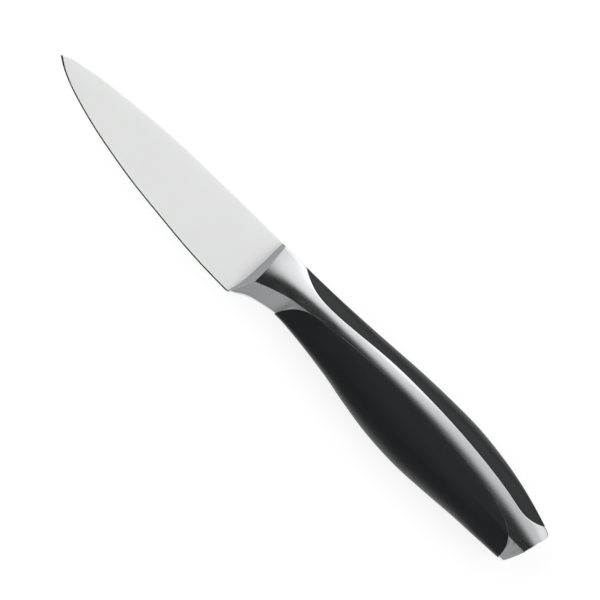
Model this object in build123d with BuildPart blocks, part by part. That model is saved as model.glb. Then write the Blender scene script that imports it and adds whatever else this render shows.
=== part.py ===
# Paring knife with a steel bolster, side bands and end cap, and black moulded grip pieces.
# It lies on its right side: +X runs from the tip to the butt, +Y from the edge to the spine,
# and +Z through the thickness. Z is zero at the lowest point, and X and Y at the middle.
from build123d import *
import os

os.makedirs("parts", exist_ok=True)

# Blade, in millimetres and degrees
blade_length = 90.0  # tip to the front line of the bolster
heel_height = 23.0  # edge to spine at the heel
blade_thickness = 1.9  # at the spine of the heel, and all along the tang
tip_thickness = 0.62  # where the spine meets the point
edge_thickness = 0.36  # at the heel, behind the bevel
edge_flat = 0.06  # left on the cutting edge
bevel_angle = 18.0  # each side of the cutting edge

# Handle
handle_length = 123.7  # front line of the bolster to the butt
handle_height = 27.0  # hump of the spine to the lowest point of the belly
handle_thickness = 17.5  # across the grip
bolster_thickness = 12.4  # across the bolster
ramp_run = 2.8  # length of the slope from the blade up to the flank of the bolster
bolster_rounding = 0.8  # along the top edges of the bolster
grip_rounding = 3.2  # along the top edges of the grip
wall = 2.2  # steel bands and grip pieces, over the core
seat_relief = 0.1  # how far each side of the blade steps in, inside the bolster

# Tang and core
tang_front_height = 10.0
tang_rear_height = 5.0
tang_rear = 22.5  # end of the tang to the butt
core_front = 14.5  # front line of the bolster to the front of the core
core_rear = 11.2  # rear of the core to the butt

# Pins, dowels and pegs
pin_diameter = 3.0
pin_length = 10.0
dowel_diameter = 2.5
dowel_length = 4.4
peg_diameter = 4.0
peg_depth = 3.0  # into the core

overrun = 5.0  # how far a cutting shape reaches past what it cuts
section_count = 32  # steps between the sections that the handle is drawn through

# Shares of the handle's length from the front line, and of its height from the middle
spine_height_share = 0.401
section_shares = [
    # place, top, base, flat side from and to, towards the heel, towards the grip, crease under the side
    (-0.014, 0.401, -0.248, -0.200, -0.100, 1.000, 0.00, 1.0),
    (0.009, 0.401, -0.248, -0.164, -0.060, 0.775, 0.00, 1.0),
    (0.034, 0.401, -0.248, -0.122, -0.010, 0.455, 0.02, 1.0),
    (0.064, 0.401, -0.248, -0.066, 0.035, 0.230, 0.06, 1.0),
    (0.120, 0.401, -0.248, 0.015, 0.080, 0.000, 0.20, 1.0),
    (0.198, 0.410, -0.270, 0.068, 0.108, 0.000, 0.60, 0.8),
    (0.286, 0.429, -0.320, 0.075, 0.115, 0.000, 0.96, 0.5),
    (0.340, 0.443, -0.360, 0.055, 0.116, 0.000, 1.00, 0.3),
    (0.387, 0.457, -0.403, 0.030, 0.116, 0.000, 1.00, 0.2),
    (0.488, 0.486, -0.474, -0.015, 0.112, 0.000, 1.00, 0.0),
    (0.595, 0.500, -0.500, -0.050, 0.095, 0.000, 1.00, 0.0),
    (0.690, 0.494, -0.480, -0.080, 0.060, 0.000, 1.00, 0.0),
    (0.791, 0.442, -0.446, -0.110, 0.010, 0.000, 1.00, 0.2),
    (0.866, 0.376, -0.430, -0.130, -0.030, 0.000, 1.00, 0.6),
    (0.942, 0.281, -0.413, -0.140, -0.075, 0.000, 1.00, 1.0),
    (1.018, 0.167, -0.403, -0.145, -0.095, 0.000, 1.00, 1.0),
]
# Shape of a section at the heel, the bolster and the grip: width of the flat top, straightness
# of the upper and lower flank, and width of the belly
heel_shares = (0.64, 0.35, 0.60, 0.12)
bolster_shares = (0.62, 0.35, 0.60, 0.35)
grip_shares = (0.55, 0.50, 0.50, 0.60)

blade_spine_shares = [
    (0.042, 0.748),
    (0.076, 0.779),
    (0.146, 0.832),
    (0.267, 0.890),
    (0.423, 0.949),
    (0.631, 0.982),
    (0.839, 0.996),
    (1.000, 1.000),
]
blade_edge_shares = [
    (0.028, 0.606),
    (0.059, 0.543),
    (0.111, 0.461),
    (0.180, 0.378),
    (0.267, 0.292),
    (0.371, 0.212),
    (0.492, 0.137),
    (0.631, 0.079),
    (0.770, 0.028),
    (0.908, 0.003),
]
tip_height_share = 0.677
ramp_shares = [
    (0.003, 0.600),
    (0.002, 0.358),
    (0.001, -0.105),
    (-0.002, -0.290),
    (-0.008, -0.406),
    (-0.016, -0.520),
]
spine_line_shares = [
    (0.069, 0.468),
    (0.090, 0.399),
    (0.120, 0.325),
    (0.155, 0.273),
    (0.211, 0.254),
    (0.311, 0.286),
    (0.412, 0.325),
    (0.513, 0.333),
    (0.639, 0.315),
    (0.765, 0.266),
    (0.866, 0.196),
    (0.902, 0.163),
    (0.922, 0.155),
    (0.947, 0.173),
    (0.975, 0.236),
    (0.992, 0.294),
]
belly_line_shares = [
    (0.113, -0.336),
    (0.116, -0.244),
    (0.125, -0.151),
    (0.140, -0.059),
    (0.160, 0.011),
    (0.185, 0.059),
    (0.223, 0.085),
    (0.286, 0.118),
    (0.362, 0.147),
    (0.463, 0.163),
    (0.564, 0.154),
    (0.690, 0.124),
    (0.791, 0.074),
    (0.866, -0.001),
    (0.912, -0.091),
    (0.934, -0.186),
    (0.945, -0.302),
    (0.947, -0.452),
]
butt_shares = [
    (0.977, 0.265),
    (0.994, 0.207),
    (1.000, 0.167),
    (0.999, 0.103),
    (0.990, -0.082),
    (0.976, -0.267),
    (0.967, -0.359),
    (0.961, -0.401),
    (0.947, -0.435),
]
tang_centre_shares = [(0.009, 0.050), (0.148, 0.050), (0.538, 0.000)]
pin_places = (0.240, 0.640)
dowel_places = (0.064, 0.036, 0.968)  # above the tang, below it, and in the end cap
peg_places = (0.286, 0.488, 0.690)  # pegs of the grip pieces

# Places
heel_place, seat_place = section_shares[0][0], section_shares[1][0]
last_place = section_shares[-1][0]
section_step = (last_place - heel_place) / section_count
section_places = [heel_place + section_step * k for k in range(section_count + 1)]
mid_z = handle_thickness / 2
mid_plane = Plane.XY.offset(mid_z)
tip_x = -(blade_length + handle_length) / 2
front_x = tip_x + blade_length
spine_y = spine_height_share * handle_height
heel_y = spine_y - heel_height


def handle_point(place, height):
    return (front_x + place * handle_length, height * handle_height)


def blade_point(place, height):
    return (tip_x + place * blade_length, heel_y + height * heel_height)


# Smooth value of every column of the table at any place along the handle
def row_at(place):
    last = len(section_shares) - 2
    i = max([k for k in range(last + 1) if section_shares[k][0] <= place], default=0)
    before, low, high, after = [section_shares[min(max(i + k, 0), last + 1)] for k in (-1, 0, 1, 2)]
    step = high[0] - low[0]
    t = (place - low[0]) / step
    values = []
    for column in range(1, len(low)):
        leave = (high[column] - before[column]) / (high[0] - before[0]) * step
        arrive = (after[column] - low[column]) / (after[0] - low[0]) * step
        bend = high[column] - low[column]
        cubic = leave + arrive - 2 * bend
        square = 3 * bend - 2 * leave - arrive
        values.append(low[column] + t * (leave + t * (square + t * cubic)))
    return values


# Distance along the handle, top, bottom and half thickness of one section
def section_ends(place, inset=0):
    top, base, _, _, heel, grip, _ = row_at(place)
    x, top_y = handle_point(place, top)
    base_y = base * handle_height
    bottom_y = base_y + heel * (heel_y - base_y)
    half = (bolster_thickness + grip * (handle_thickness - bolster_thickness)) / 2
    return x, top_y - inset, bottom_y + inset, half - inset


def blend(low, high, share):
    return [a + (b - a) * share for a, b in zip(low, high)]


# Closed outline across the right half of the handle, in its own plane: Y to the right, Z up
def draw_section(place, inset=0):
    x, top, bottom, half = section_ends(place, inset)
    low_share, high_share, heel, grip, crease = row_at(place)[2:]
    shape = blend(blend(bolster_shares, grip_shares, grip), heel_shares, heel)
    flat_share, upper_share, lower_share, width_share = shape
    rounding = bolster_rounding + grip * (grip_rounding - bolster_rounding)
    rounding = rounding * half / (half + inset)
    low, high = low_share * handle_height, high_share * handle_height
    flat = half * flat_share
    with BuildSketch(Plane(origin=(x, 0, mid_z), x_dir=(0, 1, 0), z_dir=(1, 0, 0))) as section:
        with BuildLine():
            corner = Vector(top, -flat)
            turn = Vector(high + upper_share * (top - high), -half)
            shoulder = corner + (turn - corner).normalized() * rounding
            under = Vector(bottom, -half * width_share)
            leaning = Vector(bottom - low, crease * half * (1 - width_share))
            lower = Vector(low, -half) + leaning * lower_share
            Line((bottom, 0), (top, 0))
            Line((top, 0), (top, rounding - flat))
            Bezier((top, rounding - flat), corner, shoulder)
            Bezier(shoulder, turn, (high, -half))
            Line((high, -half), (low, -half))
            Bezier((low, -half), lower, under, (bottom, 0))
        make_face()
    return section.sketch


# Curved line through points of the plan, closed around the region on one side of it
def draw_region(points, *corners):
    with BuildSketch(mid_plane) as region:
        with BuildLine():
            Spline(points)
            Polyline(points[-1], *corners, points[0])
        make_face()
    return region.sketch


def draw_circle(plane, diameter):
    with BuildSketch(plane) as disc:
        Circle(diameter / 2)
    return disc.sketch


# Places that the cutting shapes reach to
above_y = handle_height / 2 + overrun
below_y = heel_y - handle_height / 2 - overrun
ahead_x = tip_x - overrun
behind_x = front_x + handle_length + overrun

# Outer form of the right half of the handle, before it is divided
with BuildPart() as half_form:
    loft([draw_section(place) for place in section_places])
    with BuildSketch(mid_plane):
        with BuildLine():
            butt_line = [handle_point(*share) for share in butt_shares]
            Spline(butt_line)
            Polyline(butt_line[-1], (behind_x, below_y), (behind_x, above_y), butt_line[0])
        make_face()
    extrude(amount=-handle_thickness, mode=Mode.SUBTRACT)

# Regions of the plan that the grip pieces take, and those ahead of and behind the bolster's slope
spine_line = [handle_point(*share) for share in spine_line_shares]
belly_line = [handle_point(*share) for share in belly_line_shares]
ramp_line = [handle_point(*share) for share in ramp_shares]
spine_region = draw_region(spine_line, (spine_line[-1][0], above_y), (spine_line[0][0], above_y))
belly_region = draw_region(belly_line, (belly_line[-1][0], below_y), (belly_line[0][0], below_y))
ramp_region = draw_region(ramp_line, (ahead_x, below_y), (ahead_x, above_y), (ramp_line[0][0], above_y))
seat_region = draw_region(ramp_line, (behind_x, below_y), (behind_x, above_y), (ramp_line[0][0], above_y))

# Blade: a flat plate with ground sides, a bevel on each side of the edge, and a hidden tang
seat_x, seat_top, seat_bottom, _ = section_ends(seat_place)
heel_x = section_ends(heel_place)[0]
tip = blade_point(0, tip_height_share)
blade_spine = [tip] + [blade_point(*share) for share in blade_spine_shares]
blade_edge = [tip] + [blade_point(*share) for share in blade_edge_shares] + [(heel_x, heel_y)]
half_blade = blade_thickness / 2
side_points = [
    Vector(front_x, spine_y, mid_z + half_blade),
    Vector(tip[0], tip[1], mid_z + tip_thickness / 2),
    Vector(front_x, heel_y, mid_z + edge_thickness / 2),
]
side_along = side_points[1] - side_points[0]
side_across = side_points[2] - side_points[0]
side_plane = Plane(side_points[0], x_dir=side_along, z_dir=side_along.cross(side_across))
edge_rise = Vector(0, 1, 0).rotate(Axis.X, bevel_angle)
edge_drop = edge_flat / 2 / edge_rise.Z * edge_rise.Y
bevel_line = [(x, y - edge_drop) for x, y in blade_edge]

tang_centre = [handle_point(*share) for share in tang_centre_shares]
tang_end = (front_x + handle_length - tang_rear, tang_centre[-1][1])
tang_top = tang_centre[0][1] + tang_front_height / 2
tang_bottom = tang_centre[0][1] - tang_front_height / 2

with BuildSketch(mid_plane) as pin_sketch:
    for place in pin_places:
        x = front_x + place * handle_length
        start, end = tang_centre[1], tang_end
        share = (x - start[0]) / (end[0] - start[0])
        with Locations((x, start[1] + share * (end[1] - start[1]))):
            Circle(pin_diameter / 2)
pin_discs = pin_sketch.sketch

# Dowels midway between the tang and the outside of the bolster, and midway up the end cap
upper_dowel, lower_dowel, rear_dowel = [section_ends(place) for place in dowel_places]
dowel_points = [
    (upper_dowel[0], (upper_dowel[1] + tang_top) / 2),
    (lower_dowel[0], (lower_dowel[2] + tang_bottom) / 2),
    (rear_dowel[0], (rear_dowel[1] + rear_dowel[2]) / 2),
]
with BuildSketch(mid_plane) as dowel_sketch:
    with Locations(*dowel_points):
        Circle(dowel_diameter / 2)
dowel_discs = dowel_sketch.sketch

# What comes off each side of the blade behind the slope of the bolster
with BuildPart() as relief:
    extrude(seat_region, amount=handle_thickness, dir=Vector(ramp_run, 0, bolster_thickness / 2))
    split(bisect_by=side_plane.offset(-seat_relief), keep=Keep.TOP)

with BuildPart() as blade:
    with BuildSketch(mid_plane):
        with BuildLine():
            Spline(blade_spine)
            Polyline(blade_spine[-1], (seat_x, seat_top), (seat_x, seat_bottom), (heel_x, heel_y))
            Spline(blade_edge)
        make_face()
    extrude(amount=half_blade)
    split(bisect_by=side_plane, keep=Keep.BOTTOM)
    bevel_region = draw_region(
        bevel_line, (behind_x, bevel_line[-1][1]), (behind_x, above_y), (tip_x, above_y)
    )
    extrude(bevel_region, amount=handle_thickness, dir=edge_rise, mode=Mode.INTERSECT)
    add(relief.part, mode=Mode.SUBTRACT)
    mirror(about=mid_plane)
    with BuildSketch(mid_plane):
        with BuildLine():
            half_front = Vector(0, tang_front_height / 2)
            half_rear = Vector(0, tang_rear_height / 2)
            centre = [Vector(*point) for point in tang_centre]
            rear = Vector(*tang_end)
            top_side = [centre[0] + half_front, centre[1] + half_front, rear + half_rear]
            low_side = [rear - half_rear, centre[1] - half_front, centre[0] - half_front]
            Polyline(*top_side, *low_side, close=True)
        make_face()
    extrude(amount=half_blade, both=True)
    extrude(pin_discs, amount=blade_thickness, both=True, mode=Mode.SUBTRACT)
blade.part.label = "blade"

# Pins through the core and the tang, and dowels between the two halves of the frame
with BuildPart() as tang_pins:
    extrude(pin_discs, amount=pin_length / 2, both=True)
tang_pins.part.label = "tang_pins"

with BuildPart() as frame_dowels:
    extrude(dowel_discs, amount=dowel_length / 2, both=True)
frame_dowels.part.label = "frame_dowels"

# Pegs on the grip pieces, from inside the wall into the core
with BuildPart() as spine_pegs:
    for place in peg_places:
        x, top, _, _ = section_ends(place, wall / 2)
        plane = Plane(origin=(x, top, mid_z), x_dir=(1, 0, 0), z_dir=(0, -1, 0))
        extrude(draw_circle(plane, peg_diameter), amount=wall / 2 + peg_depth)

with BuildPart() as belly_pegs:
    for place in peg_places:
        x, _, bottom, _ = section_ends(place, wall / 2)
        plane = Plane(origin=(x, bottom, mid_z), x_dir=(1, 0, 0), z_dir=(0, 1, 0))
        extrude(draw_circle(plane, peg_diameter), amount=wall / 2 + peg_depth)

# Core, one moulding on each side of the tang
core_start = front_x + core_front
core_end = front_x + handle_length - core_rear
with BuildPart() as half_core:
    loft([draw_section(place, wall) for place in section_places])
    with BuildSketch(mid_plane):
        with BuildLine():
            Polyline(
                (core_start, below_y),
                (core_end, below_y),
                (core_end, above_y),
                (core_start, above_y),
                close=True,
            )
        make_face()
    extrude(amount=-handle_thickness, mode=Mode.INTERSECT)

with BuildPart() as right_core:
    add(half_core.part)
    add(spine_pegs.part, mode=Mode.SUBTRACT)
    add(belly_pegs.part, mode=Mode.SUBTRACT)
    add(tang_pins.part, mode=Mode.SUBTRACT)
    add(blade.part, mode=Mode.SUBTRACT)
right_core.part.label = "right_core"

with BuildPart() as left_core:
    mirror(right_core.part, about=mid_plane)
left_core.part.label = "left_core"

# Grip pieces moulded around the spine and the belly
with BuildPart() as spine_grip:
    add(half_form.part)
    extrude(spine_region, amount=-handle_thickness, mode=Mode.INTERSECT)
    add(half_core.part, mode=Mode.SUBTRACT)
    mirror(about=mid_plane)
    add(spine_pegs.part)
spine_grip.part.label = "spine_grip"

with BuildPart() as belly_grip:
    add(half_form.part)
    extrude(belly_region, amount=-handle_thickness, mode=Mode.INTERSECT)
    add(half_core.part, mode=Mode.SUBTRACT)
    mirror(about=mid_plane)
    add(belly_pegs.part)
belly_grip.part.label = "belly_grip"

# Steel frame: bolster, side bands and end cap, in two halves welded along the middle
slope = Vector(ramp_run, 0, -bolster_thickness / 2)
with BuildPart() as right_frame:
    add(half_form.part)
    extrude(spine_region, amount=-handle_thickness, mode=Mode.SUBTRACT)
    extrude(belly_region, amount=-handle_thickness, mode=Mode.SUBTRACT)
    extrude(ramp_region, amount=handle_thickness, dir=slope, mode=Mode.SUBTRACT)
    add(half_core.part, mode=Mode.SUBTRACT)
    add(blade.part, mode=Mode.SUBTRACT)
    add(frame_dowels.part, mode=Mode.SUBTRACT)
right_frame.part.label = "right_frame"

with BuildPart() as left_frame:
    mirror(right_frame.part, about=mid_plane)
left_frame.part.label = "left_frame"

pieces = (
    blade,
    left_frame,
    right_frame,
    spine_grip,
    belly_grip,
    left_core,
    right_core,
    tang_pins,
    frame_dowels,
)
for piece in pieces:
    export_step(piece.part, f"parts/{piece.part.label}.step")
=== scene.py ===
import math

import bmesh
import bpy
import numpy as np
from mathutils import Matrix, Vector


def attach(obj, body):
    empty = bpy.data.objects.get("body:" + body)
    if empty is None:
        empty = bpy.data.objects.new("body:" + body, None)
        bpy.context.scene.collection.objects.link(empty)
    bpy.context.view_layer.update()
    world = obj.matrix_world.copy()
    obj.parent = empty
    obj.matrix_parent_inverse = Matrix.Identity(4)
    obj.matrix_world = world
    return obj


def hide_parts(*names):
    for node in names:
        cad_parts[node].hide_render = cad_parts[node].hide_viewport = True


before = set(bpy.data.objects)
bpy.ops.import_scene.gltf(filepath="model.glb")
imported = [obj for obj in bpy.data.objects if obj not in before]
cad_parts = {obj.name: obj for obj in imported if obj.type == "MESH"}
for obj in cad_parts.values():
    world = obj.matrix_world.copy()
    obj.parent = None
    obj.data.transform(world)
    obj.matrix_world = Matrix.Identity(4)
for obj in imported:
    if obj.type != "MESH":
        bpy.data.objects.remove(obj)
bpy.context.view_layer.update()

mm = 0.001
mergeReach = 0.001 * mm  # corners closer together than this are one
middleReach = 0.01 * mm  # corners closer to the middle plane than this lie on it
halvings = 30  # steps of a search that halves its range each time
linePoints = 240  # points of a smooth line

# Sizes of the knife that the pieces share, the same as those of the solids
knife = {
    "bladeLength": 90.0 * mm,
    "heelHeight": 23.0 * mm,
    "handleLength": 123.7 * mm,
    "handleHeight": 27.0 * mm,
    "handleThickness": 17.5 * mm,
    "bolsterThickness": 12.4 * mm,
    "spineShare": 0.401,  # height of the straight spine, of the handle's height
}
midZ = knife["handleThickness"] / 2
tipX = -(knife["bladeLength"] + knife["handleLength"]) / 2
frontX = tipX + knife["bladeLength"]
spineY = knife["spineShare"] * knife["handleHeight"]
heelY = spineY - knife["heelHeight"]
otherSide = Matrix.Translation((0, 0, 2 * midZ)) @ Matrix.Diagonal((1, 1, -1, 1))


# The camera comes first: it looks straight down at the left side, turned so that the tip is up left
cameraSetup = {
    "lens": 600,
    "sensor": 36,
    "framedWidth": 187.2 * mm,
    "aim": (0.1 * mm, 2.1 * mm),
    "turn": 45,
    "clipShare": 10,  # of the distance to the knife
}


def addCamera(setup):
    data = bpy.data.cameras.new("camera")
    data.lens = setup["lens"]
    data.sensor_width = setup["sensor"]
    distance = setup["framedWidth"] * setup["lens"] / setup["sensor"]
    data.clip_end = setup["clipShare"] * distance
    camera = bpy.data.objects.new("camera", data)
    camera.location = (*setup["aim"], midZ + distance)
    camera.rotation_euler = (0, 0, math.radians(setup["turn"]))
    bpy.context.scene.collection.objects.link(camera)
    bpy.context.scene.camera = camera


addCamera(cameraSetup)
print("camera placed")


# Form of the handle: each row is place, top, base, flat side from and to, heel, grip, crease
handleForm = {
    "rows": [
        (-0.014, 0.401, -0.248, -0.200, -0.130, 1.000, 0.00, 1.0),
        (0.009, 0.401, -0.248, -0.164, -0.095, 0.775, 0.00, 1.0),
        (0.034, 0.401, -0.248, -0.122, -0.040, 0.455, 0.02, 1.0),
        (0.064, 0.401, -0.248, -0.066, 0.032, 0.230, 0.06, 1.0),
        (0.120, 0.401, -0.248, 0.015, 0.096, 0.000, 0.20, 1.0),
        (0.198, 0.410, -0.270, 0.068, 0.120, 0.000, 0.60, 0.8),
        (0.286, 0.429, -0.320, 0.075, 0.115, 0.000, 0.96, 0.5),
        (0.340, 0.443, -0.360, 0.055, 0.116, 0.000, 1.00, 0.3),
        (0.387, 0.457, -0.403, 0.030, 0.116, 0.000, 1.00, 0.2),
        (0.488, 0.486, -0.474, -0.015, 0.112, 0.000, 1.00, 0.0),
        (0.595, 0.500, -0.500, -0.050, 0.095, 0.000, 1.00, 0.0),
        (0.690, 0.494, -0.480, -0.080, 0.060, 0.000, 1.00, 0.0),
        (0.791, 0.442, -0.446, -0.110, 0.010, 0.000, 1.00, 0.2),
        (0.866, 0.376, -0.430, -0.130, -0.030, 0.000, 1.00, 0.6),
        (0.942, 0.281, -0.413, -0.140, -0.075, 0.000, 1.00, 1.0),
        (1.018, 0.167, -0.403, -0.145, -0.095, 0.000, 1.00, 1.0),
    ],
    # width of the flat top, straightness of the upper and lower flank, width of the belly
    "heelShape": (0.64, 0.35, 0.60, 0.12),
    "bolsterShape": (0.62, 0.35, 0.60, 0.35),
    "gripShape": (0.55, 0.45, 0.50, 0.60),
    "capShape": (0.70, 0.50, 0.60, 0.60),
    "bolsterRounding": 0.4 * mm,  # at the corner of the flat top
    "gripRounding": 3.2 * mm,
    # how closely the lower flank follows its straight lines, smooth and creased
    "smoothWeight": 1.8,
    "creaseWeight": 16,
    "creaseRounding": 0.35 * mm,
    # how far round from the belly to the spine each stretch of a section ends
    "stretches": (0.36, 0.42, 0.50, 0.84, 0.90, 1.00),
}
flatTop = handleForm["stretches"][-2]


def handlePoint(place, height):
    return (frontX + place * knife["handleLength"], height * knife["handleHeight"])


def bladePoint(place, height):
    return (tipX + place * knife["bladeLength"], heelY + height * knife["heelHeight"])


def rowAt(place):  # smooth value of every column at any place along the handle
    rows = handleForm["rows"]
    last = len(rows) - 2
    i = max((k for k in range(last + 1) if rows[k][0] <= place), default=0)
    before, low, high, after = (rows[min(max(i + k, 0), last + 1)] for k in (-1, 0, 1, 2))
    step = high[0] - low[0]
    t = (place - low[0]) / step
    values = []
    for column in range(1, len(low)):
        leave = (high[column] - before[column]) / (high[0] - before[0]) * step
        arrive = (after[column] - low[column]) / (after[0] - low[0]) * step
        bend = high[column] - low[column]
        cubic = leave + arrive - 2 * bend
        square = 3 * bend - 2 * leave - arrive
        values.append(low[column] + t * (leave + t * (square + t * cubic)))
    return values


def mix(low, high, share):
    return [a + (b - a) * share for a, b in zip(low, high)]


def bezier(points, share):  # point on a curve of any order
    while len(points) > 1:
        points = [mix(a, b, share) for a, b in zip(points, points[1:])]
    return points[0]


def weighted(points, weight, share):  # the same, drawn closer to the inner points by a weight
    weights = [1] + [weight] * (len(points) - 2) + [1]
    y, depth, total = bezier([(w * y, w * depth, w) for w, (y, depth) in zip(weights, points)], share)
    return (y / total, depth / total)


# Stretches of the half section at one place: points as height and depth, their weight, the share used
def sectionAt(place):
    top, base, low, high, heel, grip, crease = rowAt(place)
    tall = knife["handleHeight"]
    top, base, low, high = top * tall, base * tall, low * tall, high * tall
    bottom = base + heel * (heelY - base)
    thin, thick = knife["bolsterThickness"] / 2, knife["handleThickness"] / 2
    half = thin + grip * (thick - thin)
    shape = mix(handleForm["gripShape"], handleForm["capShape"], crease)
    shape = mix(handleForm["bolsterShape"], shape, grip)
    flatShare, upperShare, lowerShare, bellyShare = mix(shape, handleForm["heelShape"], heel)
    smooth = (handleForm["gripRounding"], handleForm["smoothWeight"])
    creased = (handleForm["bolsterRounding"], handleForm["creaseWeight"])
    rounding, weight = mix(smooth, creased, crease)
    corner = Vector((top, half * flatShare))
    turn = Vector((high + upperShare * (top - high), half))
    shoulder = corner + (turn - corner).normalized() * rounding
    lean = Vector((bottom - low, -crease * half * (1 - bellyShare))) * lowerShare
    lower = [(bottom, 0), (bottom, half * bellyShare), (low + lean.x, half + lean.y), (low, half)]
    soft = min(handleForm["creaseRounding"], (high - low) / 3)
    cut = 1 - soft / (3 * weight * lean.length)
    softStart, softEnd = weighted(lower, weight, cut), (low + soft, half)
    return [
        (lower, weight, cut),
        ([softStart, (low, half), softEnd], 1, 1),
        ([softEnd, (high, half)], 1, 1),
        ([(high, half), turn, shoulder], 1, 1),
        ([shoulder, corner, (top, half * flatShare - rounding)], 1, 1),
        ([(top, half * flatShare - rounding), (top, 0)], 1, 1),
    ]


# Point of the left side's skin: around is 0 along the belly's middle and 1 along the spine's
def halfSection(place, around):
    start = 0
    for (points, weight, cut), end in zip(sectionAt(place), handleForm["stretches"]):
        if around <= end:
            return weighted(points, weight, (around - start) / (end - start) * cut)
        start = end


def skinPoint(place, around):  # a negative value of around is on the right side
    y, depth = halfSection(place, min(abs(around), 1))
    side = -1 if around < 0 else 1
    return Vector((frontX + place * knife["handleLength"], y, midZ + side * depth))


def topAt(place):
    return rowAt(place)[0] * knife["handleHeight"]


def bottomAt(place):
    return halfSection(place, 0)[0]


def aroundAt(place, y):  # how far round the skin reaches that height
    low, high = 0, flatTop
    for _ in range(halvings):
        middle = (low + high) / 2
        if halfSection(place, middle)[0] < y:
            low = middle
        else:
            high = middle
    return (low + high) / 2


def smoothLine(points, count):  # natural spline through the points, evenly sampled
    points = np.array(points)
    knots = np.concatenate([[0], np.cumsum(np.linalg.norm(np.diff(points, axis=0), axis=1))])
    step = np.diff(knots)
    size = len(points)
    matrix = np.eye(size)
    change = np.zeros(points.shape)
    slope = np.diff(points, axis=0) / step[:, None]
    for i in range(1, size - 1):
        matrix[i, i - 1:i + 2] = (step[i - 1], 2 * (step[i - 1] + step[i]), step[i])
        change[i] = 6 * (slope[i] - slope[i - 1])
    bend = np.linalg.solve(matrix, change)
    line = []
    for along in np.linspace(0, knots[-1], count + 1):
        i = min(int(np.searchsorted(knots, along, side="right")) - 1, size - 2)
        s, h = along - knots[i], step[i]
        first = slope[i] - h * (2 * bend[i] + bend[i + 1]) / 6
        line.append(points[i] + s * (first + s * (bend[i] / 2 + s * (bend[i + 1] - bend[i]) / (6 * h))))
    return np.array(line)


# Lines where the steel meets the grips, the slope of the bolster and the butt
seams = {
    "spine": [
        (0.069, 0.468), (0.090, 0.399), (0.120, 0.325), (0.155, 0.273), (0.211, 0.254),
        (0.311, 0.286), (0.412, 0.325), (0.513, 0.333), (0.639, 0.315), (0.765, 0.266),
        (0.866, 0.196), (0.902, 0.163), (0.922, 0.153), (0.947, 0.169), (0.977, 0.228),
        (0.992, 0.294),
    ],
    "belly": [
        (0.113, -0.336), (0.116, -0.244), (0.125, -0.151), (0.140, -0.059), (0.160, 0.011),
        (0.185, 0.059), (0.223, 0.085), (0.286, 0.118), (0.362, 0.147), (0.463, 0.163),
        (0.564, 0.154), (0.690, 0.124), (0.791, 0.074), (0.866, -0.001), (0.912, -0.091),
        (0.934, -0.186), (0.945, -0.302), (0.947, -0.452),
    ],
    "slope": [
        (0.003, 0.600), (0.002, 0.358), (0.001, -0.105), (-0.002, -0.290), (-0.008, -0.406),
        (-0.016, -0.520),
    ],
    "slopeRun": 2.8 * mm,  # from the blade up to the flank of the bolster
    "butt": [
        (0.977, 0.265), (0.994, 0.207), (1.000, 0.167), (0.999, 0.103), (0.990, -0.082),
        (0.976, -0.267), (0.967, -0.359), (0.961, -0.401), (0.947, -0.435),
    ],
}


def seamLine(name):
    return smoothLine([handlePoint(*share) for share in seams[name]], linePoints)


slopeLine = seamLine("slope")[::-1]
buttLine = seamLine("butt")[::-1]


def slopeX(y, depth):  # the slope leans towards the butt as it rises from the middle
    lean = seams["slopeRun"] / (knife["bolsterThickness"] / 2)
    return float(np.interp(y, slopeLine[:, 1], slopeLine[:, 0])) + lean * abs(depth)


def buttX(y, depth):
    return float(np.interp(y, buttLine[:, 1], buttLine[:, 0]))


# Seam on the skin as (place, around), between its two crossings of the top or the bottom
def seamOnSkin(name, inside):
    line = [((x - frontX) / knife["handleLength"], y) for x, y in seamLine(name)]
    kept = [k for k, (place, y) in enumerate(line) if inside(place, y)]

    def crossing(outer, inner):
        for _ in range(halvings):
            middle = mix(outer, inner, 0.5)
            if inside(*middle):
                inner = middle
            else:
                outer = middle
        return inner

    first = crossing(line[kept[0] - 1], line[kept[0]])
    last = crossing(line[kept[-1] + 1], line[kept[-1]])
    points = [first] + [line[k] for k in kept] + [last]
    return [(place, aroundAt(place, y)) for place, y in points]


spineSeam = seamOnSkin("spine", lambda place, y: y < topAt(place))
spineSeam[0] = (spineSeam[0][0], flatTop)
spineSeam[-1] = (spineSeam[-1][0], flatTop)
bellySeam = seamOnSkin("belly", lambda place, y: y > bottomAt(place))
bellySeam[0] = (bellySeam[0][0], 0)
bellySeam[-1] = (bellySeam[-1][0], 0)
print("seams laid on the handle")


def evenly(path, count):  # the same path with evenly spaced points over the skin
    places = [skinPoint(*point) for point in path]
    lengths = [0]
    for a, b in zip(places, places[1:]):
        lengths.append(lengths[-1] + (b - a).length)
    wanted = np.linspace(0, lengths[-1], count + 1)
    columns = [np.interp(wanted, lengths, [point[k] for point in path]) for k in (0, 1)]
    return list(zip(*columns))


def between(path, start, end):  # the stretch of a path between two places
    def at(place):
        return (place, float(np.interp(place, [p[0] for p in path], [p[1] for p in path])))

    return [at(start)] + [p for p in path if start < p[0] < end] + [at(end)]


def chain(*paths):
    joined = list(paths[0])
    for path in paths[1:]:
        joined += path[1:]
    return joined


def endPlaces(wallX, rows, guess):  # where each row of the skin meets a wall across the handle
    places = []
    for around in [flatTop * row / rows for row in range(rows + 1)] + [1]:
        place = guess
        for _ in range(steelFrame["wallSteps"]):
            y, depth = halfSection(place, around)
            place = (wallX(y, depth) - frontX) / knife["handleLength"]
        places.append(place)
    return places


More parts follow.
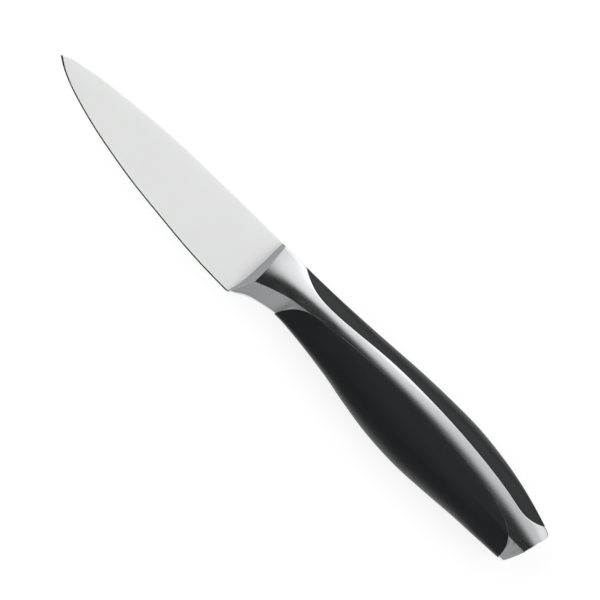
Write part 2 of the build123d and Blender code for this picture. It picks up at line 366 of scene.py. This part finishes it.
def gridOf(columns, rows, where):  # a sheet of squares, each corner moved to where(column, row)
    bm = bmesh.new()
    bmesh.ops.create_grid(bm, x_segments=columns, y_segments=rows, size=0.5)
    column = bm.verts.layers.int.new("column")
    row = bm.verts.layers.int.new("row")
    for vert in bm.verts:
        vert[column] = round((vert.co.x + 0.5) * columns)
        vert[row] = round((vert.co.y + 0.5) * rows)
        vert.co = where(vert[column], vert[row])
    bmesh.ops.remove_doubles(bm, verts=bm.verts, dist=mergeReach)
    bmesh.ops.recalc_face_normals(bm, faces=bm.faces)
    rise = [face.normal.z * (face.calc_center_median().z - midZ) for face in bm.faces]
    if sum(rise) < 0:
        bmesh.ops.reverse_faces(bm, faces=bm.faces)
    return bm


def outward(vert):  # direction of the skin around a corner, so that thin faces count little
    around = {face for edge in vert.link_edges for face in edge.other_vert(vert).link_faces}
    total = Vector()
    for face in sorted(around, key=lambda face: face.index):
        total += face.normal * face.calc_area()
    return total.normalized()


# Wall thickness behind a sheet, with its outer rim sunk a little, except where two halves meet
def thicken(bm, thickness, easing):
    bm.normal_update()
    bm.faces.index_update()
    inner = bm.verts.layers.int.new("inner")
    copy = bmesh.ops.duplicate(bm, geom=bm.faces[:])["geom"]
    verts = [item for item in copy if isinstance(item, bmesh.types.BMVert)]
    moves = []
    for vert in verts:
        inward = -outward(vert)
        if abs(vert.co.z - midZ) < middleReach:
            inward.z = 0
        moves.append(inward.normalized() * thickness)
    for vert, move in zip(verts, moves):
        vert[inner] = 1
        vert.co += move
    bmesh.ops.reverse_faces(bm, faces=[item for item in copy if isinstance(item, bmesh.types.BMFace)])
    rim = [edge for edge in bm.edges if edge.is_boundary]
    eased = {vert for edge in rim for vert in edge.verts if not vert[inner]}
    eased = [vert for vert in eased if abs(vert.co.z - midZ) > middleReach]
    moves = [-outward(vert) * easing for vert in eased]
    bmesh.ops.bridge_loops(bm, edges=rim)
    for vert, move in zip(eased, moves):
        vert.co += move


crispFold = math.radians(35)  # edges that fold more than this look crisp


def addPiece(bm, name, finishNames, node):
    for face in bm.faces:
        face.smooth = True
    for edge in bm.edges:  # crisp at folds and where the finish changes
        used = {face.material_index for face in edge.link_faces}
        if edge.is_manifold and (len(used) > 1 or edge.calc_face_angle() > crispFold):
            edge.smooth = False
    mesh = bpy.data.meshes.new(name)
    bm.to_mesh(mesh)
    bm.free()
    for finish in finishNames:
        mesh.materials.append(finishes[finish])
    piece = bpy.data.objects.new(name, mesh)
    bpy.context.scene.collection.objects.link(piece)
    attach(piece, "root")
    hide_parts(node)
    print(name, len(mesh.polygons), "faces")


# Materials
noiseRange = (0.3, 0.7)  # nearly all of the noise lies between these


def newMaterial(name):
    material = bpy.data.materials.new(name)
    material.use_nodes = True
    nodes = material.node_tree.nodes
    return material, nodes, material.node_tree.links, nodes["Principled BSDF"]


# Noise stretched along one direction, from the object's own coordinates
def addGrain(nodes, links, scale, stretch):
    coordinates = nodes.new("ShaderNodeTexCoord")
    mapping = nodes.new("ShaderNodeMapping")
    mapping.inputs["Scale"].default_value = stretch
    noise = nodes.new("ShaderNodeTexNoise")
    noise.inputs["Scale"].default_value = scale
    links.new(coordinates.outputs["Object"], mapping.inputs["Vector"])
    links.new(mapping.outputs["Vector"], noise.inputs["Vector"])
    return noise.outputs["Fac"]


def addRange(nodes, links, source, low, high):
    spread = nodes.new("ShaderNodeMapRange")
    for name, value in zip(("From Min", "From Max", "To Min", "To Max"), (*noiseRange, low, high)):
        spread.inputs[name].default_value = value
    links.new(source, spread.inputs["Value"])
    return spread.outputs["Result"]


def addBump(nodes, links, shader, source, height, strength):
    bump = nodes.new("ShaderNodeBump")
    bump.inputs["Distance"].default_value = height
    bump.inputs["Strength"].default_value = strength
    links.new(source, bump.inputs["Height"])
    links.new(bump.outputs["Normal"], shader.inputs["Normal"])


def groundSteel(name, look):
    material, nodes, links, shader = newMaterial(name)
    shader.inputs["Metallic"].default_value = 1
    shader.inputs["Base Color"].default_value = (*look["colour"], 1)
    shader.inputs["Anisotropic"].default_value = look["anisotropy"]
    spread = nodes.new("ShaderNodeCombineXYZ")
    for axis, value in zip("XYZ", look["spread"]):
        spread.inputs[axis].default_value = value
    turn = nodes.new("ShaderNodeVectorTransform")
    turn.convert_from, turn.convert_to = "OBJECT", "WORLD"
    links.new(spread.outputs["Vector"], turn.inputs["Vector"])
    links.new(turn.outputs["Vector"], shader.inputs["Tangent"])
    grain = addGrain(nodes, links, look["grainScale"], look["grainStretch"])
    low, high = look["roughness"]
    links.new(addRange(nodes, links, grain, low, high), shader.inputs["Roughness"])
    addBump(nodes, links, shader, grain, look["grainDepth"], look["grainStrength"])
    return material


def mouldedPlastic(name, look):
    material, nodes, links, shader = newMaterial(name)
    shader.inputs["Base Color"].default_value = (*look["colour"], 1)
    shader.inputs["Specular IOR Level"].default_value = look["specular"]
    grain = addGrain(nodes, links, look["grainScale"], (1, 1, 1))
    low, high = look["roughness"]
    links.new(addRange(nodes, links, grain, low, high), shader.inputs["Roughness"])
    addBump(nodes, links, shader, grain, look["grainDepth"], look["grainStrength"])
    return material


steelLooks = {
    "bladeSteel": {
        "colour": (0.87, 0.88, 0.87), "roughness": (0.48, 0.54),
        "anisotropy": 0.85, "spread": (1, 0, 0),
        "grainScale": 400, "grainStretch": (6, 0.3, 1), "grainDepth": 0.004 * mm,
        "grainStrength": 0.3,
    },
    # the honed bevel's steel is much darker than the blade's: painted shade for the dark that the bevel
    # reflects; its smoother polish is real
    "edgeSteelPaintedShade": {
        "colour": (0.34, 0.35, 0.35), "roughness": (0.18, 0.24),
        "anisotropy": 0.0, "spread": (1, 0, 0),
        "grainScale": 400, "grainStretch": (6, 0.3, 1), "grainDepth": 0.003 * mm,
        "grainStrength": 0.2,
    },
    "frameSteel": {
        "colour": (0.78, 0.79, 0.80), "roughness": (0.11, 0.17),
        "anisotropy": 0.2, "spread": (1, 0, 0),
        "grainScale": 400, "grainStretch": (0.3, 6, 6), "grainDepth": 0.003 * mm,
        "grainStrength": 0.15,
    },
    # the slope's steel has a rougher grind, which is real, and a colour far darker than the frame's, which
    # is painted shade for the dark the slope reflects
    "slopeSteelPaintedShade": {
        "colour": (0.38, 0.39, 0.40), "roughness": (0.30, 0.38),
        "anisotropy": 0.0, "spread": (1, 0, 0),
        "grainScale": 900, "grainStretch": (1, 1, 1), "grainDepth": 0.004 * mm,
        "grainStrength": 0.3,
    },
}
plasticLooks = {
    "gripPlastic": {
        "colour": (0.006, 0.007, 0.008), "roughness": (0.36, 0.44), "specular": 0.45,
        "grainScale": 2600, "grainDepth": 0.02 * mm, "grainStrength": 0.25,
    },
    "corePlastic": {
        "colour": (0.08, 0.08, 0.08), "roughness": (0.5, 0.6), "specular": 0.5,
        "grainScale": 1500, "grainDepth": 0.02 * mm, "grainStrength": 0.3,
    },
}
finishes = {name: groundSteel(name, look) for name, look in steelLooks.items()}
finishes["pinSteel"] = groundSteel("pinSteel", steelLooks["frameSteel"])
finishes.update({name: mouldedPlastic(name, look) for name, look in plasticLooks.items()})
print("materials made")


# Steel frame: each half is one skin from the slope of the bolster to the butt
steelFrame = {
    "rows": 56,  # from the belly up to the flat top, which is one row more
    "ringColumns": 10,  # across the slope and across the butt
    "bolsterColumns": 34,  # as far as the spine grip
    "neckColumns": 12,  # from there to the belly grip
    "noseColumns": 30,
    "bandColumns": 200,
    "capColumns": 40,
    "buttColumns": 3,
    "noseEnd": 0.160,  # places between which the steel is a plain band
    "capStart": 0.900,
    "capFoot": 0.954,  # where a line from the rear of the spine grip reaches the belly
    "rearGuess": 0.98,  # place from which the search for the butt starts
    "wallSteps": 12,
    "ringMiddle": 2 * mm,  # width left in the middle of the slope and of the butt
    "buttRounding": 0.25 * mm,
    "buttSegments": 4,
    "thickness": 0.8 * mm,
    "easing": 0.05 * mm,
}


def frameSkin(sizes):
    rows, rings = sizes["rows"], sizes["ringColumns"]
    fronts = endPlaces(slopeX, rows, 0)
    rears = endPlaces(buttX, rows, sizes["rearGuess"])
    noseEnd, capStart, capFoot = sizes["noseEnd"], sizes["capStart"], sizes["capFoot"]
    neckFoot = (spineSeam[0][0], 0)
    neck, nose, band = sizes["neckColumns"], sizes["noseColumns"], sizes["bandColumns"]
    lower = evenly([(fronts[0], 0), neckFoot], sizes["bolsterColumns"])
    upper = evenly([(fronts[rows], flatTop), spineSeam[0]], sizes["bolsterColumns"])
    frontEnd = len(lower) - 1
    lower += chain(
        evenly([neckFoot, bellySeam[0]], neck),
        evenly(between(bellySeam, bellySeam[0][0], noseEnd), nose),
        evenly(between(bellySeam, noseEnd, capStart), band),
        evenly(between(bellySeam, capStart, bellySeam[-1][0]), sizes["capColumns"]),
        [bellySeam[-1], (capFoot, 0)],
    )
    upper += chain(
        evenly(between(spineSeam, spineSeam[0][0], noseEnd), neck + nose),
        evenly(between(spineSeam, noseEnd, capStart), band),
        evenly(between(spineSeam, capStart, spineSeam[-1][0]), sizes["capColumns"] + 1),
    )
    rearStart = len(lower)
    lower += evenly([(capFoot, 0), (rears[0], 0)], sizes["buttColumns"])
    upper += evenly([spineSeam[-1], (rears[rows], flatTop)], sizes["buttColumns"])
    last = len(lower) - 1
    capFirst = rearStart - sizes["capColumns"]

    def onSkin(column, row):  # the last row is on the flat top, outside the stretch of the seams
        if frontEnd < column < rearStart:
            row = min(row, rows)
        share = min(row / rows, 1)
        place, around = mix(lower[column], upper[column], share)
        front = max(0, 1 - column / frontEnd) ** 2
        rear = max(0, (column - capFirst) / (last - capFirst)) ** 2
        place += front * (fronts[row] - fronts[0] - share * (fronts[rows] - fronts[0]))
        place += rear * (rears[row] - rears[0] - share * (rears[rows] - rears[0]))
        return (place, 1 if row > rows else around)

    def onWall(wallX, column, row, share):
        rim = skinPoint(*onSkin(column, row))
        ends = [skinPoint(*onSkin(column, end)).y for end in (0, rows)]
        middle = sum(ends) / 2 + (row / rows - 0.5) * sizes["ringMiddle"]
        y, depth = mix((rim.y, rim.z - midZ), (middle, 0), share)
        return Vector((wallX(y, depth), y, midZ + depth))

    def where(column, row):
        skinColumn = column - rings
        if skinColumn < 0:
            return onWall(slopeX, 0, row, -skinColumn / rings)
        if skinColumn > last:
            return onWall(buttX, last, row, (skinColumn - last) / rings)
        return skinPoint(*onSkin(skinColumn, row))

    bm = gridOf(last + 2 * rings, rows + 1, where)
    column = bm.verts.layers.int["column"]
    # faces across the slope take the second finish, the darkened steel that paints shade on it
    for face in bm.faces:
        if all(vert[column] <= rings for vert in face.verts):
            face.material_index = 1
    return bm, rings + last


def frameHalf(sizes, side):
    bm, buttColumn = frameSkin(sizes)
    thicken(bm, sizes["thickness"], sizes["easing"])
    column, inner = (bm.verts.layers.int[name] for name in ("column", "inner"))
    butt = [e for e in bm.edges if all(v[column] == buttColumn and not v[inner] for v in e.verts)]
    bmesh.ops.bevel(
        bm, geom=butt, offset=sizes["buttRounding"], segments=sizes["buttSegments"],
        profile=0.5, affect="EDGES", material=-1,
    )
    for vert in bm.verts:
        vert.co.z = max(vert.co.z, midZ)
    if side < 0:
        bmesh.ops.transform(bm, matrix=otherSide, verts=bm.verts)
        bmesh.ops.reverse_faces(bm, faces=bm.faces)
    return bm


for side, name, node in ((1, "leftFrame", "left_frame"), (-1, "rightFrame", "right_frame")):
    addPiece(frameHalf(steelFrame, side), name, ("frameSteel", "slopeSteelPaintedShade"), node)


# Grips: one moulding over the spine and one round the belly, each from one side to the other
grips = {
    "spineColumns": 240,
    "bellyColumns": 240,
    "rows": 72,
    "thickness": 2.2 * mm,
    "easing": 0.05 * mm,
}


def spineGrip(sizes):
    seam = evenly(spineSeam, sizes["spineColumns"])
    rows = sizes["rows"]

    def where(column, row):
        place, around = seam[column]
        share = 2 * row / rows - 1  # from the right seam to the left one
        reach = 1 - abs(share) * (1 - around)
        return skinPoint(place, math.copysign(reach, share))

    bm = gridOf(sizes["spineColumns"], rows, where)
    thicken(bm, sizes["thickness"], sizes["easing"])
    return bm


def bellyGrip(sizes):
    columns, rows = sizes["bellyColumns"], sizes["rows"]
    seam = evenly(bellySeam, columns)

    def where(column, row):  # slices fan out from the belly's middle to the seams
        share = 2 * row / rows - 1  # from the right seam to the left one
        middle = (mix(seam[0], seam[-1], column / columns)[0], 0)
        place, around = mix(middle, seam[column], abs(share))
        return skinPoint(place, math.copysign(around, share))

    bm = gridOf(columns, rows, where)
    thicken(bm, sizes["thickness"], sizes["easing"])
    return bm


addPiece(spineGrip(grips), "spineGrip", ("gripPlastic",), "spine_grip")
addPiece(bellyGrip(grips), "bellyGrip", ("gripPlastic",), "belly_grip")


# Blade, with its ground sides, its bevelled edge and its tang
bladeSizes = {
    "columns": 260,
    "sideRows": 14,
    "spineThickness": 1.9 * mm,
    "tipThickness": 0.52 * mm,
    "edgeThickness": 0.36 * mm,
    "leastEdge": 0.32 * mm,  # edge thickness behind the bevel where the sides thin out
    "liftShare": 0.40,  # share of the height over which that added thickness fades
    "edgeFlat": 0.06 * mm,
    "bevelAngle": 17,
    "spineRounding": 0.16 * mm,
    "sideBelly": 0.10 * mm,  # how far the sides swell between spine and edge
    "bellyHeight": 10 * mm,  # blade height from which they do so in full
    "spine": [
        (0.042, 0.748), (0.076, 0.779), (0.146, 0.832), (0.267, 0.890), (0.423, 0.949),
        (0.631, 0.982), (0.839, 0.996),
    ],
    "edge": [
        (0.028, 0.606), (0.059, 0.543), (0.111, 0.461), (0.180, 0.378), (0.267, 0.292),
        (0.371, 0.212), (0.492, 0.137), (0.631, 0.079), (0.770, 0.028), (0.908, 0.003),
    ],
    "tipHeight": 0.677,
    "heelColumns": 30,  # the last columns of the blade, which lean with the slope of the bolster
    "roundingLimits": (0.30, 0.05),  # of the spine's depth and of the blade's height
    "bevelLimit": 0.9,  # share of the blade's height that the bevel may take at the tip
    # the neck just behind the slope, smaller than the blade by an inset
    "neck": (0.02 * mm, 1.0 * mm),
    "neckInset": 0.25 * mm,
    "neckThinning": 0.85,
    # the tang: place and height of its middle, how tall, share of the spine's thickness
    "tang": [
        (0.009, 0.050, 10.0 * mm, 0.8), (0.009, 0.050, 10.0 * mm, 1.0),
        (0.148, 0.050, 10.0 * mm, 1.0), (0.808, 0.000, 5.0 * mm, 1.0),
    ],
    "tangStep": 0.1 * mm,
}


def bladeLines(sizes):  # the cutting edge and the spine, both from the tip to the bolster
    tip = bladePoint(0, sizes["tipHeight"])
    heel = (slopeX(heelY, 0), heelY)
    crown = (slopeX(spineY, 0), spineY)
    edgePoints = [tip] + [bladePoint(*share) for share in sizes["edge"]] + [heel]
    spinePoints = [tip] + [bladePoint(*share) for share in sizes["spine"]] + [crown]
    return smoothLine(edgePoints, sizes["columns"]), smoothLine(spinePoints, sizes["columns"])


def sideDepth(sizes, x, y):  # half thickness of the blade, whose ground side is a plane
    crown = Vector((frontX, spineY, sizes["spineThickness"] / 2))
    tip = Vector((*bladePoint(0, sizes["tipHeight"]), sizes["tipThickness"] / 2))
    heel = Vector((frontX, heelY, sizes["edgeThickness"] / 2))
    normal = (tip - crown).cross(heel - crown)
    return crown.z - ((x - crown.x) * normal.x + (y - crown.y) * normal.y) / normal.z


# Points of a half section of the blade, as how far up from edge to spine, and depth
def bladeSection(sizes, low, high):
    height = (Vector(high) - Vector(low)).length
    span = max(height, 1e-9)
    tangent = math.tan(math.radians(sizes["bevelAngle"]))
    edgeDepth = min(sizes["edgeFlat"] / 2, height * tangent)
    lift = max(0, sizes["leastEdge"] / 2 - sideDepth(sizes, *low))
    bevelWidth = (sideDepth(sizes, *low) + lift - edgeDepth) / tangent
    bevelShare = min(bevelWidth / span, sizes["bevelLimit"])
    swell = sizes["sideBelly"] * min(1, height / sizes["bellyHeight"])
    top = min(sideDepth(sizes, *high), edgeDepth + height * tangent)
    depthLimit, heightLimit = sizes["roundingLimits"]
    radius = min(sizes["spineRounding"], depthLimit * top, heightLimit * height)
    points = [(0, 0), (0, edgeDepth)]
    for k in range(sizes["sideRows"] + 1):
        share = bevelShare + (1 - radius / span - bevelShare) * k / sizes["sideRows"]
        depth = sideDepth(sizes, *mix(low, high, share)) + swell * 4 * (share - bevelShare) * (1 - share)
        depth += lift * max(0, 1 - share / sizes["liftShare"]) ** 2
        points.append((share, min(depth, edgeDepth + share * height * tangent)))
    for degrees in (30, 60, 90):
        turn = math.radians(degrees)
        points.append((1 - radius * (1 - math.sin(turn)) / span, top - radius * (1 - math.cos(turn))))
    points.append((1, 0))
    return points


def bladeForm(sizes):
    edge, spine = bladeLines(sizes)
    columns, inset = sizes["columns"], sizes["neckInset"]
    sections = [bladeSection(sizes, low, high) for low, high in zip(edge, spine)]
    last = len(sections[-1]) - 1

    def onBlade(column, row):
        share, depth = sections[column][row]
        if column == 0:
            depth = 0
        x, y = mix(edge[column], spine[column], share)
        follow = max(0, 1 - (columns - column) / sizes["heelColumns"]) ** 2
        x += follow * (slopeX(y, depth) - edge[-1][0] - (spine[-1][0] - edge[-1][0]) * share)
        return Vector((x, y, midZ + depth))

    def onNeck(station, row):
        share, depth = sections[-1][row]
        y = heelY + 2 * inset + share * (spineY - heelY - 3 * inset)
        return Vector((slopeX(y, depth) + sizes["neck"][station], y, midZ + sizes["neckThinning"] * depth))

    def onTang(station, row):
        place, height, tall, thick = sizes["tang"][station]
        x, y = handlePoint(place, height)
        share = sections[-1][row][0]
        depth = thick * sizes["spineThickness"] / 2 if 0 < row < last else 0
        x += sizes["tangStep"] if station else 0
        return Vector((x, y + (share - 0.5) * tall, midZ + depth))

    def where(column, row):
        behind = column - columns - 1
        if behind < 0:
            return onBlade(column, row)
        necks = len(sizes["neck"])
        return onNeck(behind, row) if behind < necks else onTang(behind - necks, row)

    bm = gridOf(columns + len(sizes["neck"]) + len(sizes["tang"]), last, where)
    row = bm.verts.layers.int["row"]
    # the edge flat and the bevel take the second finish, the darkened steel that paints shade on them
    for face in bm.faces:
        if all(vert[row] <= 2 for vert in face.verts):
            face.material_index = 1
    copy = bmesh.ops.duplicate(bm, geom=bm.faces[:])["geom"]
    verts = [item for item in copy if isinstance(item, bmesh.types.BMVert)]
    bmesh.ops.transform(bm, matrix=otherSide, verts=verts)
    bmesh.ops.remove_doubles(bm, verts=bm.verts, dist=mergeReach)
    bmesh.ops.holes_fill(bm, edges=[edge for edge in bm.edges if edge.is_boundary], sides=0)
    bmesh.ops.recalc_face_normals(bm, faces=bm.faces)
    return bm


addPiece(bladeForm(bladeSizes), "groundBlade", ("bladeSteel", "edgeSteelPaintedShade"), "blade")


# Pieces inside the handle keep their solids and get a finish
hiddenPieces = {
    "left_core": "corePlastic",
    "right_core": "corePlastic",
    "tang_pins": "pinSteel",
    "frame_dowels": "pinSteel",
}
for node, finish in hiddenPieces.items():
    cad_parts[node].data.materials.clear()
    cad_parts[node].data.materials.append(finishes[finish])
print("inner pieces finished")


# Studio: a pale floor under a sky that is dark overhead, with a soft box beyond the tip and the butt
studio = {
    "floorSize": 6.0,
    "floorColour": 0.30,
    "floorRoughness": 0.9,
    "floorLift": 0.79,  # its own glow to the camera and in the steel
    "floorDrop": 0.05 * mm,
    # brightness by degrees from overhead, towards the edge and towards the spine
    "across": [
        (-90, 0.30), (-80, 0.44), (-50, 0.48), (-40, 0.14), (-24, 0.05), (4, 0.03), (10, 0.07),
        (15, 0.26), (20, 0.66), (28, 1.12), (38, 1.32), (56, 2.00), (70, 1.50), (80, 0.30),
        (90, 0.10),
    ],
    # how much of it is left, by the direction's x times its y
    "glow": [(-1, 0.80), (-0.12, 0.80), (-0.02, 0.74), (0.02, 0.60), (0.12, 0.48), (1, 0.45)],
    # share of the soft boxes, by the direction's x and by its y
    "boxAlong": [
        (-1, 0.2), (-0.80, 0.3), (-0.66, 1), (-0.44, 1), (-0.34, 0), (0.24, 0), (0.36, 0.9),
        (0.62, 0.9), (0.80, 0.2), (1, 0.1),
    ],
    "boxAcross": [(-1, 0), (-0.46, 0), (-0.28, 1), (0.36, 1), (0.52, 0), (1, 0)],
    "boxBrightness": 2.45,
}


def addMath(nodes, links, operation, *sources):  # each source is an output or a plain number
    node = nodes.new("ShaderNodeMath")
    node.operation = operation
    for source, socket in zip(sources, node.inputs):
        if isinstance(source, bpy.types.NodeSocket):
            links.new(source, socket)
        else:
            socket.default_value = source
    return node.outputs["Value"]


def addFloor(setup):
    bm = bmesh.new()
    bmesh.ops.create_grid(bm, x_segments=1, y_segments=1, size=setup["floorSize"] / 2)
    mesh = bpy.data.meshes.new("floor")
    bm.to_mesh(mesh)
    bm.free()
    floor = bpy.data.objects.new("floor", mesh)
    floor.location.z = -setup["floorDrop"]
    bpy.context.scene.collection.objects.link(floor)
    material, nodes, links, shader = newMaterial("floor")
    shader.inputs["Base Color"].default_value = (*[setup["floorColour"]] * 3, 1)
    shader.inputs["Roughness"].default_value = setup["floorRoughness"]
    shader.inputs["Specular IOR Level"].default_value = 0
    shader.inputs["Emission Color"].default_value = (1, 1, 1, 1)
    path = nodes.new("ShaderNodeLightPath").outputs
    seen = addMath(nodes, links, "MAXIMUM", path["Is Glossy Ray"], path["Is Transmission Ray"])
    seen = addMath(nodes, links, "MAXIMUM", path["Is Camera Ray"], seen)
    lift = addMath(nodes, links, "MULTIPLY", seen, setup["floorLift"])
    links.new(lift, shader.inputs["Emission Strength"])
    mesh.materials.append(material)


def addProfile(nodes, links, source, reach, stops):  # smooth curve over values from -reach to reach
    spread = nodes.new("ShaderNodeMapRange")
    spread.inputs["From Min"].default_value = -reach
    spread.inputs["From Max"].default_value = reach
    curve = nodes.new("ShaderNodeFloatCurve")
    points = curve.mapping.curves[0].points
    peak = max(level for _, level in stops)
    for k, (value, level) in enumerate(stops):
        place = (0.5 + 0.5 * value / stops[-1][0], level / peak)
        if k < 1:
            points[0].location = place
        elif k == len(stops) - 1:
            points[-1].location = place
        else:
            points.new(*place)
    for point in points:
        point.handle_type = "AUTO_CLAMPED"
    curve.mapping.update()
    links.new(source, spread.inputs["Value"])
    links.new(spread.outputs["Result"], curve.inputs["Value"])
    return addMath(nodes, links, "MULTIPLY", curve.outputs["Value"], peak)


def addSky(setup):
    world = bpy.data.worlds.new("studio")
    bpy.context.scene.world = world
    world.use_nodes = True
    nodes, links = world.node_tree.nodes, world.node_tree.links
    nodes.clear()
    direction = nodes.new("ShaderNodeTexCoord")
    split = nodes.new("ShaderNodeSeparateXYZ")
    links.new(direction.outputs["Generated"], split.inputs["Vector"])
    x, y, z = (split.outputs[axis] for axis in "XYZ")
    angle = addMath(nodes, links, "ARCTAN2", y, z)
    corner = addMath(nodes, links, "MULTIPLY", x, y)
    across = addProfile(nodes, links, angle, math.radians(90), setup["across"])
    glow = addProfile(nodes, links, corner, 1, setup["glow"])
    along = addProfile(nodes, links, x, 1, setup["boxAlong"])
    beside = addProfile(nodes, links, y, 1, setup["boxAcross"])
    sky = nodes.new("ShaderNodeBackground")
    softBox = nodes.new("ShaderNodeBackground")
    softBox.inputs["Strength"].default_value = setup["boxBrightness"]
    plain = nodes.new("ShaderNodeBackground")
    for shader in (sky, softBox, plain):
        shader.inputs["Color"].default_value = (1, 1, 1, 1)
    blend = nodes.new("ShaderNodeMixShader")
    path = nodes.new("ShaderNodeLightPath")
    choose = nodes.new("ShaderNodeMixShader")
    output = nodes.new("ShaderNodeOutputWorld")
    links.new(addMath(nodes, links, "MULTIPLY", across, glow), sky.inputs["Strength"])
    links.new(addMath(nodes, links, "MULTIPLY", along, beside), blend.inputs["Fac"])
    links.new(sky.outputs["Background"], blend.inputs[1])
    links.new(softBox.outputs["Background"], blend.inputs[2])
    links.new(path.outputs["Is Camera Ray"], choose.inputs["Fac"])
    links.new(blend.outputs["Shader"], choose.inputs[1])
    links.new(plain.outputs["Background"], choose.inputs[2])
    links.new(choose.outputs["Shader"], output.inputs["Surface"])


addFloor(studio)
addSky(studio)
bpy.context.scene.view_settings.view_transform = "Standard"
print("studio lit")
